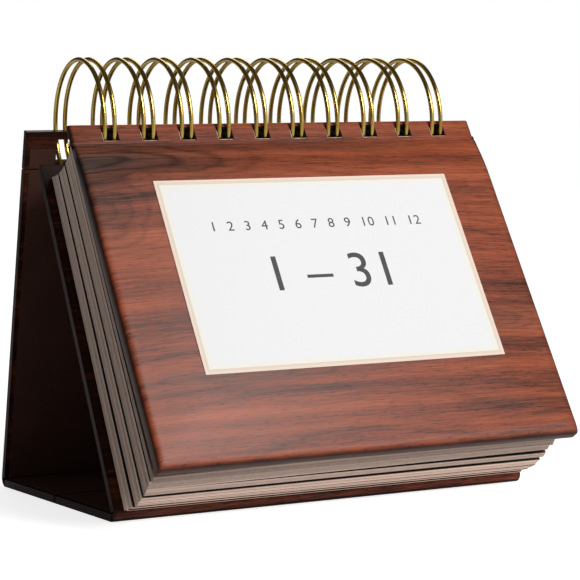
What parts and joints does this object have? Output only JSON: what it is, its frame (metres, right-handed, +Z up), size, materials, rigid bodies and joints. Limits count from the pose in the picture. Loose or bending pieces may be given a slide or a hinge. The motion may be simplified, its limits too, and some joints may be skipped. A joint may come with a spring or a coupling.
{
  "type": "perpetual flip calendar",
  "caption": "Desk flip calendar: leaves and a padded cover on a twin-loop wire, standing on a wood-print board easel that folds flat.",
  "frame": {"origin": "middle of the outline seen from above, on the plane that the base stands on", "axes": "+X along the wire to the reader's right, -Y towards the reader, +Z up"},
  "size_m": [0.14, 0.1294, 0.1375],
  "materials": {
    "wood_print": "satin",
    "board": "matte",
    "liner": "matte",
    "leaves": "matte",
    "wire": "gloss",
    "pad": "matte",
    "label": "satin"
  },
  "bodies": {
    "easel_front": {"page_support_board": "board", "page_support_wrap": "wood_print", "page_support_liner": "liner", "front_fold": "wood_print", "wire_binding": "wire"},
    "leaf_pack_8": {"leaf_pack_8": "leaves"},
    "leaf_pack_7": {"leaf_pack_7": "leaves"},
    "leaf_pack_6": {"leaf_pack_6": "leaves"},
    "leaf_pack_5": {"leaf_pack_5": "leaves"},
    "leaf_pack_4": {"leaf_pack_4": "leaves"},
    "leaf_pack_3": {"leaf_pack_3": "leaves"},
    "leaf_pack_2": {"leaf_pack_2": "leaves"},
    "leaf_pack_1": {"leaf_pack_1": "leaves"},
    "cover_strip": {"cover_strip_board": "board", "cover_strip_wrap": "wood_print", "cover_crease": "wood_print"},
    "cover_panel": {"cover_board": "board", "cover_pad": "pad", "cover_wrap": "wood_print", "cover_liner": "liner", "label_card": "label"},
    "base_front": {"base_front_board": "board", "base_front_wrap": "wood_print", "base_front_liner": "liner", "middle_fold": "wood_print"},
    "base_rear": {"base_rear_board": "board", "base_rear_wrap": "wood_print", "base_rear_liner": "liner", "rear_fold": "wood_print"},
    "back_panel": {"back_board": "board", "back_wrap": "wood_print", "back_liner": "liner"},
    "back_strip": {"back_strip_board": "board", "back_strip_wrap": "wood_print", "back_strip_liner": "liner"}
  },
  "joints": [
    {"name": "leaf_pack_8_flip", "type": "hinge", "parent": "easel_front", "child": "leaf_pack_8", "pos_m": [0, 0.01499, 0.11642], "axis": [-1, 0, 0], "range_deg": [0, 180]},
    {"name": "leaf_pack_7_flip", "type": "hinge", "parent": "leaf_pack_8", "child": "leaf_pack_7", "pos_m": [0, 0.01499, 0.11642], "axis": [-1, 0, 0], "range_deg": [0, 180]},
    {"name": "leaf_pack_6_flip", "type": "hinge", "parent": "leaf_pack_7", "child": "leaf_pack_6", "pos_m": [0, 0.01499, 0.11642], "axis": [-1, 0, 0], "range_deg": [0, 180]},
    {"name": "leaf_pack_5_flip", "type": "hinge", "parent": "leaf_pack_6", "child": "leaf_pack_5", "pos_m": [0, 0.01499, 0.11642], "axis": [-1, 0, 0], "range_deg": [0, 180]},
    {"name": "leaf_pack_4_flip", "type": "hinge", "parent": "leaf_pack_5", "child": "leaf_pack_4", "pos_m": [0, 0.01499, 0.11642], "axis": [-1, 0, 0], "range_deg": [0, 180]},
    {"name": "leaf_pack_3_flip", "type": "hinge", "parent": "leaf_pack_4", "child": "leaf_pack_3", "pos_m": [0, 0.01499, 0.11642], "axis": [-1, 0, 0], "range_deg": [0, 180]},
    {"name": "leaf_pack_2_flip", "type": "hinge", "parent": "leaf_pack_3", "child": "leaf_pack_2", "pos_m": [0, 0.01499, 0.11642], "axis": [-1, 0, 0], "range_deg": [0, 180]},
    {"name": "leaf_pack_1_flip", "type": "hinge", "parent": "leaf_pack_2", "child": "leaf_pack_1", "pos_m": [0, 0.01499, 0.11642], "axis": [-1, 0, 0], "range_deg": [0, 180]},
    {"name": "cover_strip_flip", "type": "hinge", "parent": "leaf_pack_1", "child": "cover_strip", "pos_m": [0, 0.01499, 0.11642], "axis": [-1, 0, 0], "range_deg": [0, 180]},
    {"name": "cover_crease_lift", "type": "hinge", "parent": "cover_strip", "child": "cover_panel", "pos_m": [0, -0.00736, 0.11028], "axis": [-1, 0, 0], "range_deg": [0, 100]},
    {"name": "front_fold_turn", "type": "hinge", "parent": "easel_front", "child": "base_front", "pos_m": [0, -0.02848, 0.00265], "axis": [1, 0, 0], "range_deg": [0, 56.8]},
    {"name": "middle_fold_turn", "type": "hinge", "parent": "base_front", "child": "base_rear", "pos_m": [0, 0.01676, 0], "axis": [-1, 0, 0], "range_deg": [0, 162.1]},
    {"name": "rear_fold_turn", "type": "hinge", "parent": "base_rear", "child": "back_panel", "pos_m": [0, 0.06201, 0.00265], "axis": [1, 0, 0], "range_deg": [0, 67.3]},
    {"name": "back_strip_turn", "type": "hinge", "parent": "easel_front", "child": "back_strip", "pos_m": [0, 0.01499, 0.11642], "axis": [-1, 0, 0], "range_deg": [0, 38.2]}
  ],
  "couplings": [
    {"joint": "middle_fold_turn", "follows": "front_fold_turn", "ratio": 2.8526},
    {"joint": "rear_fold_turn", "follows": "front_fold_turn", "ratio": 1.1823},
    {"joint": "back_strip_turn", "follows": "front_fold_turn", "ratio": 0.6704}
  ]
}
